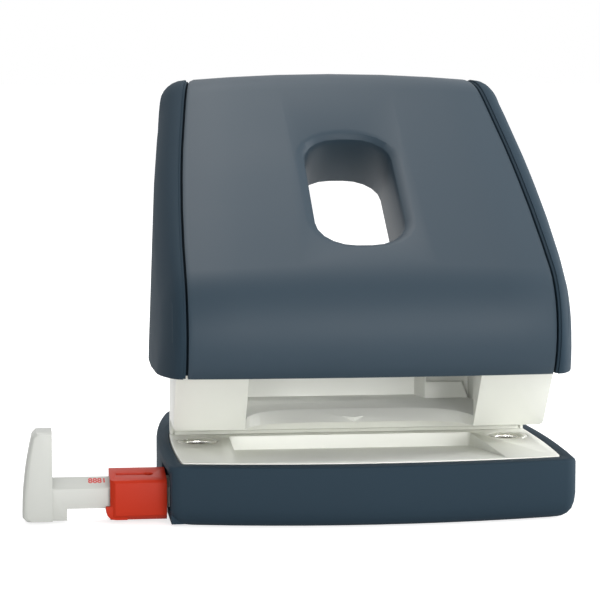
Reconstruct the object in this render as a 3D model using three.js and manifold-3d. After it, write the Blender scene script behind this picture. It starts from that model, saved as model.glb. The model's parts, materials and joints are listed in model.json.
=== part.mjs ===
// Two-hole paper punch, in millimetres, +Z up.
// The origin lies on the underside, midway between the two punch pins.
// +X runs to the right along the pin line, and -Y faces the person who uses it.

import * as THREE from 'three';
import { mergeVertices } from 'three/addons/utils/BufferGeometryUtils.js';
import Module from 'manifold-3d';

const wasm = await Module();
wasm.setup();

// Clearances shared by all pieces
const clearance = 0.3;
const restGap = 0.1;
const overrun = 2;

// Pin line, paper slot and paper stop
const pinSpacing = 80;
const pinRadius = 3;
const bedTop = 14.8;
const slotHeight = 4.3;
const paperMargin = 12;

// Base shell
const baseFront = 42.8;
const baseRear = 60;
const baseFrontSag = 4.9;
const baseRearSag = 1.4;
const baseBeyondPin = 9.65;
const baseBow = 2.55;
const baseRearBeyondPin = 4.9;
const baseControlY = 14;
const baseRearCornerY = 52;
const baseCorner = 3;
const baseRearCorner = 8;
const baseEdge = 3.4;
const baseRimDrop = 0.2;
const floorThickness = 2.2;
const ledgeWidth = 5;

// Bed plate
const bedThickness = 2.6;
const bedFront = 37.5;
const bedFrontSag = 4.4;
const bedFrontInset = 3.45;
const bedMiddleInset = 2.35;
const bedPostInset = 3.35;
const bedRearInset = 1.3;
const bedMiddleY = -12;
const bedRear = 38;
const bedCorner = 1.2;
const recessInsidePin = 8.6;
const recessFlare = 1.3;
const recessBack = 6.3;
const recessDepth = 3.5;
const recessFront = 34.6;
const recessFloor = 1.5;
const recessSideWall = 1.7;
const recessCorner = 1.4;

// Dies in the bed plate
const dieRadius = 5;
const dieHeight = 1.5;
const dieDishRadius = 4.4;
const dieDishDepth = 0.35;

// Punch frame: two bearing blocks on one platform
const blockInsidePin = 11.1;
const blockBeyondPin = 6.8;
const blockFront = 10.4;
const guideTop = 36;
const guideFront = 7;
const guideRear = 8;
const blockRearDrop = 3;
const pivotBack = 24;
const pivotHeight = 45;
const bossRadius = 5.2;
const blockTaper = 0.6;
const blockCorner = 1.2;
const blockStep = 0.6;
const bayFlare = 5.2;
const postDepth = 2.6;
const postWidth = 1.3;
const guidePlateThickness = 2.7;
const bayBack = 4.6;
const bayLipSlope = 5.2;
const centreMarkHalf = 2.7;
const centreMarkHeight = 1.2;
const centreMarkReach = 2;
const bayFlatHalf = 12;
const bayShoulder = 2.4;
const platformRear = 35;
const platformInset = 2;
const platformWall = 2;
const postGap = 0.5;
const plateFront = 21;
const plateHeight = 4.3;
const plateWidth = 11.6;
const plateSideGap = 0.5;
const plateLean = 1.8;
const plateThickness = 1.5;
const plateSlot = 1.6;
const plateRootReach = 1.7;
const flankHeight = 10.7;
const rearWallFront = 28.8;
const rearWallHeight = 12.2;
const rearWallInset = 6.8;
const rearWallCorner = 5;
const stopRailHeight = 0.7;
const stopRailDepth = 1.5;
const stopRailCorner = 0.6;

// Pin guides, pins, springs and caps
const bushWall = 1.2;
const bushFlange = 5.8;
const bushFlangeHeight = 0.9;
const pinLength = 38.8;
const pinDomeRadius = 6;
const pinNotchHeight = 1.6;
const pinRetreat = 1.1;
const capRadius = 5.6;
const capHeight = 1.4;
const capBevel = 0.35;
const capDrop = 5;
const capGroove = 0.6;
const springRadius = 4.4;
const springWire = 0.9;
const springTurns = 7;

// Pivot axle and its clips
const axleRadius = 3;
const axleEndReach = 0.9;
const clipThickness = 0.8;
const clipRadius = 5.2;
const clipGroove = 0.6;
const clipInset = 0.4;
const clipMouth = 3.2;

// Lever skin, measured at its two side grooves
const noseBehindPivot = 6.7;
const noseAbovePivot = 0.2;
const noseRoom = 6.1;
const leverBelowPivot = 10.2;
const slopeLength = 77.3;
const topRadius = 22;
const rearRadius = 8;
const rearLipAbovePivot = 43.6;
const skinThickness = 2.4;
const skinCrown = 1.6;
const grooveBeyondPin = 5.16;
const grooveRadius = 535;
const grooveWidth = 1.2;
const grooveDepth = 0.5;
const grooveFrontY = -35;
const sideWidth = 6.79;
const sideFrontRadius = 181;
const sideRadius = 459;
const sideWidestY = -5.7;
const sideRound = 12;
const leastRearRadius = 0.2;
const coverEdgeDrop = 0.35;
const sideWall = 2;
const lipReach = 0.6;
const ledgeReach = 2.4;
const ledgeThickness = 1.2;
const cheekRear = 14;
const cheekCorner = 3.2;
const cheekLean = 0.8;
const cheekShoulderAbovePivot = 13;
const slabStartY = 18;
const slabDepth = 26;
const slopeDegrees = 32.6;
const sideDraftShare = 0.04;
const rearLipShare = 0.45;
const rearRoundShare = 0.5;
const roomRoundShare = 0.6;

// Hand opening through the lever
const holeHalfWidth = 10.9;
const holeHalfLength = 22.4;
const holeCorner = 9;
const holeCentreY = -0.8;
const holeFillet = 3.8;
const collarDepth = 19.6;
const collarWall = 2;
const holeDegrees = -36;

// Lever frame inside the lever
const armBlockGap = 1.9;
const armThickness = 3.5;
const armBoss = 6;
const padGap = 0.3;
const padThickness = 3;
const padFront = 6;
const padRear = 8;
const padBeyondPin = 5;
const armTopRear = 30;
const armTopFront = 18;
const armWaistY = -6;
const armWaistAbovePivot = 7;
const armThroatDrop = 5.4;
const armHeelY = 32;
const armHeelAbovePivot = 39;
const armNoseReach = 3;
const armNoseAbovePivot = 10;
const tieAbovePivot = 3;
const tieThickness = 2.5;
const tieBehindPivot = 6;
const tieRear = 8;
const tabHalf = 4.2;
const tabReach = 10;
const tabThickness = 2;
const tabRearY = 20;
const tabFrontY = -18;
const coverBossRadius = 3;
const coverBossHeight = 5;
const coverScrewReach = 5.2;

// Screws
const screwRadius = 1.5;
const screwHead = 2.9;
const screwHeadHeight = 1.8;
const screwBoss = 4.6;
const screwSeat = 5;
const screwInsidePin = 4;
const screwFrontY = 18;
const screwRearY = 30;
const screwTipRoom = 1.4;
const screwSlot = 0.7;
const screwSlotDepth = 0.8;
const frameBoss = 3.6;

// Paper guide bar with its stop, and the lock that grips it
const barFront = 28.6;
const barRear = 22.6;
const barBottom = 3.45;
const barRidge = 8.25;
const barTop = 10.2;
const barEndInsidePin = 2;
const stopReach = 13.8;
const stopBottomWidth = 7.2;
const stopTopWidth = 4.8;
const stopBottom = 0.6;
const stopTop = 22.2;
const stopFront = 30;
const stopRear = 21.6;
const stopRound = 1;
const stopBevel = 1.2;
const stopFoot = 3.5;
const stopTopShare = 1 / 3;
const stopSideShare = 1 / 2;
const stopBevelShares = [0.3, 0.4];
const lockLength = 13.6;
const lockGap = 0.75;
const lockFront = 31;
const lockRear = 19.8;
const lockBottom = 0.75;
const lockTopFront = 10.4;
const lockTopRear = 11.75;
const lockRound = 1.2;
const lockBevel = 1.2;
const hookReach = 1.1;
const hookTop = 4;
const hookRound = 2.6;
const lockSlotStart = 12;
const lockSlotEnd = 4.2;
const lockSlotFront = 26;
const lockSlotWidth = 1.6;
const lockSlotEye = 1.2;
const lockSeatDepth = 0.7;
const lockSeatMargin = 0.5;
const lockSeatFront = 4.5;
const lockSeatTop = 1.2;
const lockSeatFoot = 0.4;
const lockSeatWall = 3;
const channelRib = 2;
const channelRibTop = 11;
const channelEndRoom = 3;
const channelPad = 10;

// Chip door in the underside
const doorSideRoom = 4.8;
const doorFront = 10.4;
const doorHingeY = 44;
const doorHingeHeight = 1.7;
const doorBarrel = 1.5;
const doorBottom = 0.3;
const doorThickness = 1.7;
const doorTrunnion = 0.9;
const doorTrunnionLength = 2.8;
const doorGap = 0.4;
const doorEar = 3.6;
const doorEarHeight = 4.2;
const doorEarHalf = 2.5;
const doorGripWidth = 9;
const doorGripDepth = 0.8;

// Outlines written as shares of the sizes that they follow
const baseSectionShares = [
  [0, 1], [0.02, 0.72], [0.07, 0.45], [0.15, 0.22], [0.27, 0.07], [0.42, 0], [0.94, 0], [0.98, 0.04], [1, 0.15],
];
const roundingShares = [0, 0.3, 0.53, 0.72, 0.86, 0.96, 1];
const roomShares = [0.55, 0.87, 1];
const widthShares = [-1, -0.975, -0.72, -0.38, 0, 0.38, 0.72, 0.975, 1];
const holeDepthShares = [[-0.3, 1], [0, 1], [0.12, 0.52], [0.45, 0.12], [1, 0]];

// Numbers of straight steps in round forms
const fineSteps = 32;
const coarseSteps = 20;
const screwSteps = 12;
const arcSteps = 9;
const cornerSteps = 5;
const bevelSteps = 3;
const coilSteps = 8;
const coilSides = 5;
const gapSamples = 12;

// Values that follow from the sizes above
const slope = THREE.MathUtils.degToRad(slopeDegrees);
const slotTop = bedTop + slotHeight;
const pinX = pinSpacing / 2;
const screwX = pinX - screwInsidePin;
const baseHalfFront = pinX + baseBeyondPin;
const baseHalfControl = baseHalfFront + baseBow;
const baseHalfRear = pinX + baseRearBeyondPin;
const bedHalfFront = baseHalfFront - bedFrontInset;
const bedHalfMiddle = baseHalfFront - bedMiddleInset;
const bedHalfPost = baseHalfFront - bedPostInset;
const bedHalfRear = baseHalfRear - bedRearInset;
const recessHalf = pinX - recessInsidePin;
const recessHalfFront = recessHalf + recessFlare;
const blockInner = pinX - blockInsidePin;
const blockOuter = pinX + blockBeyondPin;
const flankInner = blockInner + bayFlare;
const bayControl = blockInner - bayShoulder;
const plateOuter = flankInner - plateSideGap;
const plateInner = plateOuter - plateWidth;
const plateRoot = plateInner - plateRootReach;
const rearWallHalf = blockOuter - rearWallInset;
const axleHalf = blockOuter + axleEndReach;
const grooveHalf = pinX + grooveBeyondPin;
const sideHalf = grooveHalf + sideWidth;
const pivotY = -pivotBack;
const noseRadius = noseBehindPivot + clipRadius + noseRoom;
const noseCentreBack = pivotBack - noseBehindPivot;
const noseCentreHeight = pivotHeight + noseAbovePivot;
const leverBottom = pivotHeight - leverBelowPivot;
const rearLipBottom = pivotHeight + rearLipAbovePivot;
const cheekShoulderHeight = pivotHeight + cheekShoulderAbovePivot;
const armWaistHeight = pivotHeight + armWaistAbovePivot;
const armHeelHeight = pivotHeight + armHeelAbovePivot;
const armNoseY = pivotY - armNoseReach;
const armNoseHeight = pivotHeight + armNoseAbovePivot;
const tieHeight = pivotHeight + tieAbovePivot;
const tieFront = pivotBack - tieBehindPivot;
const shelfTop = slotTop + guidePlateThickness;
const bushRadius = pinRadius + clearance + bushWall;
const bushTop = guideTop + clearance + bushFlangeHeight;
const pinTip = slotTop + pinRetreat;
const pinTop = pinTip + pinLength;
const capTop = pinTop - capDrop;
const capBottom = capTop - capHeight;
const padBottom = pinTop + padGap;
const bedUnderside = bedTop - bedThickness;
const postOuter = blockOuter - blockTaper;
const armOuter = blockInner - armBlockGap;
const armInner = armOuter - armThickness;
const padHalf = pinX + padBeyondPin;
const coverScrewX = armOuter + coverScrewReach;
const barInner = pinX - barEndInsidePin;
const channelEnd = barInner + channelEndRoom;
const doorHalf = screwX - screwBoss - doorSideRoom;
const lockSeatX = baseHalfFront - lockSeatDepth;
const lockInner = lockSeatX + lockGap;
const lockOuter = lockInner + lockLength;
const stopInner = lockOuter + stopReach;

const alongX = new THREE.Matrix4().makeBasis(
  new THREE.Vector3(0, 1, 0), new THREE.Vector3(0, 0, 1), new THREE.Vector3(1, 0, 0));
const alongY = new THREE.Matrix4().makeBasis(
  new THREE.Vector3(1, 0, 0), new THREE.Vector3(0, 0, 1), new THREE.Vector3(0, -1, 0));

const navyPlastic = new THREE.MeshStandardMaterial({ color: 0x3d4f5c, roughness: 0.45, metalness: 0 });
const navyPanel = new THREE.MeshStandardMaterial({ color: 0x4d5f6b, roughness: 0.5, metalness: 0 });
const paleFrame = new THREE.MeshStandardMaterial({ color: 0xd6d7cf, roughness: 0.4, metalness: 0 });
const redPlastic = new THREE.MeshStandardMaterial({ color: 0xc34430, roughness: 0.4, metalness: 0 });
const steel = new THREE.MeshStandardMaterial({ color: 0xa9adb0, roughness: 0.3, metalness: 1 });
const darkSteel = new THREE.MeshStandardMaterial({ color: 0x6f7478, roughness: 0.45, metalness: 1 });
const brass = new THREE.MeshStandardMaterial({ color: 0xb59a5c, roughness: 0.35, metalness: 1 });

// Turns a triangle mesh inside out if its faces point inwards
function facingOut(geometry) {
  const place = geometry.attributes.position;
  const index = geometry.index;
  const a = new THREE.Vector3();
  const b = new THREE.Vector3();
  const c = new THREE.Vector3();
  let volume = 0;
  for (let i = 0; i < index.count; i += 3) {
    a.fromBufferAttribute(place, index.getX(i));
    b.fromBufferAttribute(place, index.getX(i + 1));
    c.fromBufferAttribute(place, index.getX(i + 2));
    volume += a.dot(b.cross(c));
  }
  if (volume < 0) {
    for (let i = 0; i < index.count; i += 3) {
      const first = index.getX(i);
      index.setX(i, index.getX(i + 1));
      index.setX(i + 1, first);
    }
  }
  return geometry;
}

// Makes a solid from any closed three.js geometry
function solid(geometry) {
  const bare = geometry.clone();
  bare.deleteAttribute('normal');
  bare.deleteAttribute('uv');
  const merged = facingOut(mergeVertices(bare));
  return new wasm.Manifold(new wasm.Mesh({
    numProp: 3,
    vertProperties: new Float32Array(merged.attributes.position.array),
    triVerts: new Uint32Array(merged.index.array),
  }));
}

// Turns a solid back into a three.js geometry
function geometryOf(body) {
  const mesh = body.getMesh();
  const geometry = new THREE.BufferGeometry();
  geometry.setAttribute('position', new THREE.BufferAttribute(new Float32Array(mesh.vertProperties), 3));
  geometry.setIndex(new THREE.BufferAttribute(new Uint32Array(mesh.triVerts), 1));
  geometry.computeVertexNormals();
  return geometry;
}

function mirrored(geometry) {
  const copy = geometry.clone().scale(-1, 1, 1);
  const index = copy.index;
  for (let i = 0; i < index.count; i += 3) {
    const first = index.getX(i);
    index.setX(i, index.getX(i + 1));
    index.setX(i + 1, first);
  }
  copy.computeVertexNormals();
  return copy;
}

function extruded(outline, depth) {
  const shape = new THREE.Shape(outline.map(([u, v]) => new THREE.Vector2(u, v)));
  return new THREE.ExtrudeGeometry(shape, { depth, bevelEnabled: false, steps: 1 });
}

// Prisms from an outline: (y, z) along X, (x, z) along Y and (x, y) along Z
function prismX(outline, from, to) {
  return solid(extruded(outline, to - from).applyMatrix4(alongX).translate(from, 0, 0));
}

function prismY(outline, from, to) {
  return solid(extruded(outline, to - from).applyMatrix4(alongY).translate(0, to, 0));
}

function prismZ(outline, from, to) {
  return solid(extruded(outline, to - from).translate(0, 0, from));
}

function block(x0, x1, y0, y1, z0, z1) {
  const geometry = new THREE.BoxGeometry(x1 - x0, y1 - y0, z1 - z0);
  return solid(geometry.translate((x0 + x1) / 2, (y0 + y1) / 2, (z0 + z1) / 2));
}

function rodX(radius, from, to, y, z, steps = coarseSteps) {
  const geometry = new THREE.CylinderGeometry(radius, radius, to - from, steps);
  return solid(geometry.rotateZ(Math.PI / 2).translate((from + to) / 2, y, z));
}

function rodZ(radius, x, y, from, to, steps = coarseSteps) {
  const geometry = new THREE.CylinderGeometry(radius, radius, to - from, steps);
  return solid(geometry.rotateX(Math.PI / 2).translate(x, y, (from + to) / 2));
}

// A turned piece from its closed half section of (radius, height) points
function turned(section, steps = coarseSteps) {
  const closed = [...section, section[0]].map(([r, z]) => new THREE.Vector2(r, z));
  return solid(new THREE.LatheGeometry(closed, steps).rotateX(Math.PI / 2));
}

// A closed body through matching rings of points, with both end rings capped.
// Each cap is filled by a function that lists triangles of a ring's points.
function loft(rings, fill = capTriangles) {
  const count = rings[0].length;
  const points = rings.flat();
  const triangles = [];
  for (let r = 0; r + 1 < rings.length; r += 1) {
    for (let i = 0; i < count; i += 1) {
      const a = r * count + i;
      const b = r * count + (i + 1) % count;
      triangles.push(a, b, b + count, a, b + count, a + count);
    }
  }
  const last = (rings.length - 1) * count;
  for (const [p, q, r] of fill(rings[0])) {
    triangles.push(p, r, q);
  }
  for (const [p, q, r] of fill(rings[rings.length - 1])) {
    triangles.push(last + p, last + q, last + r);
  }
  const geometry = new THREE.BufferGeometry();
  geometry.setAttribute('position', new THREE.Float32BufferAttribute(points.flatMap((p) => [p.x, p.y, p.z]), 3));
  geometry.setIndex(triangles);
  return solid(geometry);
}

// Fills a ring like a ladder, with rungs from its points to those that come back.
// The two runs of the ring share their end points, or keep them apart by one.
function ladder(ring, apart = 0) {
  const count = ring.length;
  const faces = [];
  for (let i = 0; 2 * i <= count - apart - 2; i += 1) {
    const back = count - apart - i;
    faces.push([i, i + 1, back - 1], [i, back - 1, back % count]);
  }
  return faces.filter(([a, b, c]) => a !== b && b !== c && c !== a);
}

function openLadder(ring) {
  return ladder(ring, 1);
}

// The direction square to a closed ring of points, by its area on each plane
function ringNormal(ring) {
  const normal = new THREE.Vector3();
  ring.forEach((p, i) => normal.add(p.clone().cross(ring[(i + 1) % ring.length])));
  return normal.normalize();
}

// Triangles that fill a ring, all turning the same way as the ring does
function capTriangles(ring) {
  const normal = ringNormal(ring);
  const side = Math.abs(normal.x) > 0.5 ? new THREE.Vector3(0, 1, 0) : new THREE.Vector3(1, 0, 0);
  const u = side.sub(normal.clone().multiplyScalar(side.dot(normal))).normalize();
  const v = normal.clone().cross(u);
  const flat = ring.map((p) => new THREE.Vector2(p.dot(u), p.dot(v)));
  return THREE.ShapeUtils.triangulateShape(flat, []);
}

function arc(centreY, centreZ, radius, from, to, steps) {
  return Array.from({ length: steps + 1 }, (_, i) => {
    const angle = from + (to - from) * (i / steps);
    return [centreY + radius * Math.cos(angle), centreZ + radius * Math.sin(angle)];
  });
}

function bend(start, control, end, steps) {
  const curve = new THREE.QuadraticBezierCurve(
    new THREE.Vector2(...start), new THREE.Vector2(...control), new THREE.Vector2(...end));
  return curve.getPoints(steps).map((p) => [p.x, p.y]);
}

// A closed outline that is the same on both sides of X = 0
function bothSides(rightHalf) {
  const left = rightHalf.slice(1, -1).reverse().map(([x, y]) => [-x, y]);
  return [...rightHalf, ...left];
}

// Where the straight edge from an outside point touches a circle
function tangentAngle(point, centre, radius, side) {
  const dy = point[0] - centre[0];
  const dz = point[1] - centre[1];
  return Math.atan2(dz, dy) + side * Math.acos(radius / Math.hypot(dy, dz));
}

// Plan of the base: bowed front, slightly bowed sides that narrow to the rear
function basePlan(inset) {
  const front = -(baseFront - inset);
  const rear = baseRear - inset;
  const half = baseHalfFront - inset;
  const start = half - baseCorner;
  const cornerY = front + baseFrontSag;
  const reach = cornerY + 2 * baseFrontSag * (baseCorner / start);
  const rearHalf = baseHalfRear - inset;
  const rearRise = (baseHalfControl - baseHalfRear) / (baseRearCornerY - baseControlY);
  const rearStart = rearHalf - baseRearCorner;
  return bothSides([
    ...bend([0, front], [start / 2, front], [start, cornerY], cornerSteps),
    ...bend([start, cornerY], [half, reach], [half, reach + baseCorner], cornerSteps).slice(1),
    ...bend([half, reach + baseCorner], [baseHalfControl - inset, baseControlY],
      [rearHalf, baseRearCornerY], arcSteps).slice(1),
    ...bend([rearHalf, baseRearCornerY],
      [rearHalf - rearRise * (rear - baseRearSag - baseRearCornerY), rear - baseRearSag],
      [rearStart, rear - baseRearSag / 2], cornerSteps).slice(1),
    ...bend([rearStart, rear - baseRearSag / 2], [rearStart / 2, rear], [0, rear], cornerSteps).slice(1),
  ]);
}

// Plan of the bed plate, inside the base's rim
function bedPlan(margin) {
  const front = -(bedFront + margin);
  const half = bedHalfFront + margin;
  const start = half - bedCorner;
  const cornerY = front + bedFrontSag * (start / half);
  const rear = bedRear + margin;
  return bothSides([
    ...bend([0, front], [start / 2, front], [start, cornerY], arcSteps),
    ...bend([start, cornerY], [half, cornerY], [half, cornerY + bedCorner], 2).slice(1),
    ...bend([half, cornerY + bedCorner], [bedHalfMiddle + margin, bedMiddleY],
      [bedHalfPost + margin, paperMargin], arcSteps).slice(1),
    [bedHalfRear + margin, rear - bedCorner],
    [bedHalfRear + margin - bedCorner, rear],
    [0, rear],
  ]);
}

function ringAt(outline, z) {
  return outline.map(([x, y]) => new THREE.Vector3(x, y, z));
}

function makeBaseShell() {
  const rimTop = bedTop - baseRimDrop;
  const rings = baseSectionShares.map(([up, inward]) => ringAt(basePlan(inward * baseEdge), up * rimTop));
  let shell = loft(rings);
  shell = shell.subtract(prismZ(basePlan(ledgeWidth), floorThickness, bedUnderside - restGap));
  shell = shell.subtract(prismZ(bedPlan(clearance), bedUnderside - restGap - clearance, bedTop));
  for (const side of [-1, 1]) {
    for (const y of [screwFrontY, screwRearY]) {
      const x = side * screwX;
      shell = shell.add(rodZ(screwBoss, x, y, floorThickness / 2, bedUnderside - restGap));
      shell = shell.subtract(rodZ(screwRadius + clearance, x, y, 0, bedTop));
      shell = shell.subtract(rodZ(screwHead + clearance, x, y, -overrun, screwSeat));
    }
  }
  return cutDoorway(addBarChannel(shell));
}

// Two ribs and two pads carry the guide bar, which enters through the left wall
function addBarChannel(shell) {
  const left = -(baseHalfFront - ledgeWidth - overrun);
  const base = floorThickness / 2;
  const padTop = barBottom - clearance;
  const front = -barFront - clearance;
  const rear = -barRear + clearance;
  let body = shell;
  body = body.add(block(left, channelEnd, front - channelRib, front, base, channelRibTop));
  body = body.add(block(left, channelEnd, rear, rear + channelRib, base, channelRibTop));
  for (const x of [left, channelEnd - channelPad]) {
    body = body.add(block(x, x + channelPad, front, rear, base, padTop));
  }
  const seatFront = -lockFront - lockSeatFront;
  const seatRear = -lockRear + lockSeatMargin;
  body = body.add(block(-lockSeatX - clearance, lockSeatWall - lockSeatX, seatFront, seatRear,
    lockSeatFoot, floorThickness + clearance));
  body = body.subtract(block(-baseHalfControl - overrun, left + overrun, front, rear, padTop,
    barTop + clearance));
  return body.subtract(block(-baseHalfControl - overrun, -lockSeatX, seatFront - overrun, seatRear,
    -overrun, lockTopRear + lockSeatTop));
}

// The opening in the floor for the chip door, with an ear at each end of its hinge
function cutDoorway(shell) {
  const half = doorHalf + doorGap;
  const rear = doorHingeY + doorBarrel + doorGap;
  let body = shell.subtract(block(-half, half, doorFront - doorGap, rear, -overrun, floorThickness + overrun));
  for (const side of [-1, 1]) {
    const x0 = Math.min(side * half, side * (half + doorEar));
    body = body.add(block(x0, x0 + doorEar, doorHingeY - doorEarHalf, doorHingeY + doorEarHalf,
      0, doorEarHeight));
    body = body.subtract(rodX(doorTrunnion + clearance, x0 - clearance, x0 + doorEar + clearance,
      doorHingeY, doorHingeHeight));
  }
  return body;
}

function makeChipDoor() {
  let door = block(-doorHalf, doorHalf, doorFront, doorHingeY, doorBottom, doorBottom + doorThickness);
  door = door.add(rodX(doorBarrel, -doorHalf, doorHalf, doorHingeY, doorHingeHeight));
  const reach = doorHalf + doorTrunnionLength;
  door = door.add(rodX(doorTrunnion, -reach, reach, doorHingeY, doorHingeHeight));
  const grip = rodX(doorThickness, -doorGripWidth, doorGripWidth, doorFront + doorThickness * 2,
    doorBottom - doorThickness + doorGripDepth);
  return door.subtract(grip);
}

function makeBedPlate() {
  let plate = prismZ(bedPlan(0), bedUnderside, bedTop);
  const floorTop = bedTop - recessDepth;
  const under = floorTop - recessFloor;
  const wallRear = recessBack + recessSideWall;
  const side = recessHalf + recessSideWall;
  plate = plate.add(prismX([[wallRear, bedUnderside + restGap], [wallRear, under],
    [recessBack, under], [-recessFront, bedUnderside + restGap]], -side, side));
  const rise = overrun * (recessDepth / (recessBack + recessFront));
  const section = [[recessBack, bedTop + overrun], [recessBack, floorTop],
    [-recessFront, bedTop], [-recessFront - overrun, bedTop + rise], [-recessFront - overrun, bedTop + overrun]];
  const widest = recessHalfFront + overrun;
  plate = plate.subtract(prismX(section, -widest, widest).intersect(prismZ(recessPlan(), 0, 2 * bedTop)));
  for (const side of [-1, 1]) {
    const x = side * pinX;
    plate = plate.subtract(rodZ(dieRadius + clearance, x, 0, bedTop - dieHeight - clearance,
      bedTop + overrun, fineSteps));
    plate = plate.subtract(rodZ(pinRadius + 2 * clearance, x, 0, bedUnderside - overrun, bedTop));
    for (const y of [screwFrontY, screwRearY]) {
      plate = plate.subtract(rodZ(screwRadius + clearance, side * screwX, y,
        bedUnderside - overrun, bedTop + overrun));
    }
  }
  return plate;
}

// Plan of the recess in the bed, with its rear corners rounded
function recessPlan() {
  const widen = (recessHalfFront - recessHalf) / (recessBack + recessFront);
  const front = -recessFront - 2 * overrun;
  return bothSides([[0, front], [recessHalf + widen * (recessBack - front), front],
    ...bend([recessHalf + widen * recessCorner, recessBack - recessCorner], [recessHalf, recessBack],
      [recessHalf - recessCorner, recessBack], bevelSteps), [0, recessBack]]);
}

function makeDie() {
  const bore = pinRadius + clearance;
  return turned([[bore, bedTop - dieHeight], [dieRadius, bedTop - dieHeight], [dieRadius, bedTop],
    [dieDishRadius, bedTop], [bore, bedTop - dieDishDepth]], fineSteps);
}

// Side view of a bearing block: it leans forward to carry the axle ahead of the pins
function blockOutline() {
  const centre = [pivotY, pivotHeight];
  const foot = [-blockFront, slotTop];
  const shoulder = [-guideFront, guideTop];
  const from = tangentAngle(foot, centre, bossRadius, -1) + 2 * Math.PI;
  const to = tangentAngle(shoulder, centre, bossRadius, 1);
  return [foot, ...arc(...centre, bossRadius, from, to, coarseSteps), shoulder,
    [guideRear, guideTop], [paperMargin, guideTop - blockRearDrop], [paperMargin, slotTop]];
}

// Plan of the bay between the blocks, whose front edge is scooped back to a depth
function bayOutline(lean, back) {
  const edge = blockInner + clearance;
  const front = -blockFront - lean;
  const scoop = bend([blockInner, front], [bayControl, back], [bayFlatHalf, back], arcSteps);
  return bothSides([[0, paperMargin + clearance], [edge, paperMargin + clearance], [edge, front],
    ...scoop, [0, back]]);
}

// The small raised arrow at the middle of the lip, that a sheet's fold is set to
function addCentreMark(body) {
  const front = bayBack - bayLipSlope + restGap;
  const root = front + centreMarkReach;
  return body.add(prismZ([[0, front], [centreMarkHalf, root], [centreMarkHalf, root + centreMarkReach],
    [-centreMarkHalf, root + centreMarkReach], [-centreMarkHalf, root]], slotTop, slotTop + centreMarkHeight));
}

// One bearing block: its outer side narrows a little to the rear and is rounded below,
// and its inner side flares to the rear
function makeBlock(side) {
  const [x0, x1] = side > 0 ? [blockInner, blockOuter] : [-blockOuter, -blockInner];
  const front = -pivotBack - bossRadius - overrun;
  const corner = blockOuter - blockCorner;
  const face = [[blockInner, slotTop], ...bend([corner, slotTop], [blockOuter, slotTop],
    [blockOuter, slotTop + blockCorner], bevelSteps), [blockOuter, leverBottom],
    [blockOuter - blockStep, leverBottom + blockStep], [blockOuter - blockStep, 2 * pivotHeight],
    [blockInner, 2 * pivotHeight]];
  let body = prismX(blockOutline(), x0, x1);
  body = body.intersect(prismY(face.map(([x, z]) => [side * x, z]), front, paperMargin + overrun));
  const outer = [[blockOuter, -blockFront], [blockOuter - blockTaper, paperMargin + overrun],
    [blockOuter + overrun, paperMargin + overrun]];
  body = body.subtract(prismZ(outer.map(([x, y]) => [side * x, y]), slotTop - overrun, 2 * pivotHeight));
  const inner = [[blockInner - overrun, -blockFront], [blockInner, -blockFront],
    [flankInner, paperMargin + overrun], [blockInner - overrun, paperMargin + overrun]];
  return body.subtract(prismZ(inner.map(([x, y]) => [side * x, y]), shelfTop, 2 * pivotHeight));
}

function makePunchFrame() {
  let frame = makeBlock(1).add(makeBlock(-1));
  const leanShare = (pivotBack - blockFront) / (pivotHeight - slotTop);
  const lean = guidePlateThickness * leanShare;
  frame = frame.add(loft([ringAt(bayOutline(0, bayBack - bayLipSlope), slotTop),
    ringAt(bayOutline(lean, bayBack), shelfTop)]));
  frame = addCentreMark(frame);
  frame = addPlatform(frame);
  frame = frame.subtract(rodX(axleRadius + clearance, -blockOuter - overrun, blockOuter + overrun,
    pivotY, pivotHeight, coarseSteps));
  for (const side of [-1, 1]) {
    frame = frame.subtract(rodZ(bushRadius + clearance, side * pinX, 0, slotTop - overrun,
      guideTop + overrun, fineSteps));
  }
  return frame;
}

// The platform behind the slot, its posts and rear wall, and the screw bosses inside
function addPlatform(blocks) {
  const foot = bedTop + restGap;
  const half = blockOuter - platformInset;
  const inner = half - platformWall;
  const back = platformRear - platformWall;
  let frame = blocks.add(block(-half, half, paperMargin, platformRear, foot, shelfTop));
  frame = frame.subtract(block(-inner, inner, paperMargin + platformWall, back, foot - overrun, slotTop));
  for (const side of [-1, 1]) {
    for (const [reach, front] of [[inner, paperMargin], [blockOuter - postWidth, paperMargin - postDepth / 2]]) {
      const x0 = Math.min(side * postOuter, side * reach);
      frame = frame.add(block(x0, x0 + postOuter - reach, front, paperMargin + postDepth / 2,
        foot, slotTop + clearance));
    }
    for (const y of [screwFrontY, screwRearY]) {
      frame = frame.add(rodZ(frameBoss, side * screwX, y, foot, slotTop + clearance));
      frame = frame.subtract(rodZ(screwRadius + clearance, side * screwX, y, foot - overrun,
        shelfTop - screwTipRoom));
    }
  }
  const low = shelfTop - clearance;
  for (const side of [-1, 1]) {
    const x0 = Math.min(side * flankInner, side * (flankInner + platformWall));
    frame = frame.add(block(x0, x0 + platformWall, paperMargin - clearance, rearWallFront + clearance,
      low, shelfTop + flankHeight));
  }
  const top = shelfTop + rearWallHeight;
  const wall = bothSides([[0, low], [rearWallHalf, low],
    ...arc(rearWallHalf - rearWallCorner, top - rearWallCorner, rearWallCorner, 0, Math.PI / 2, cornerSteps),
    [0, top]]);
  return addPlate(frame.add(prismY(wall, rearWallFront, rearWallFront + platformWall)));
}

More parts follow.
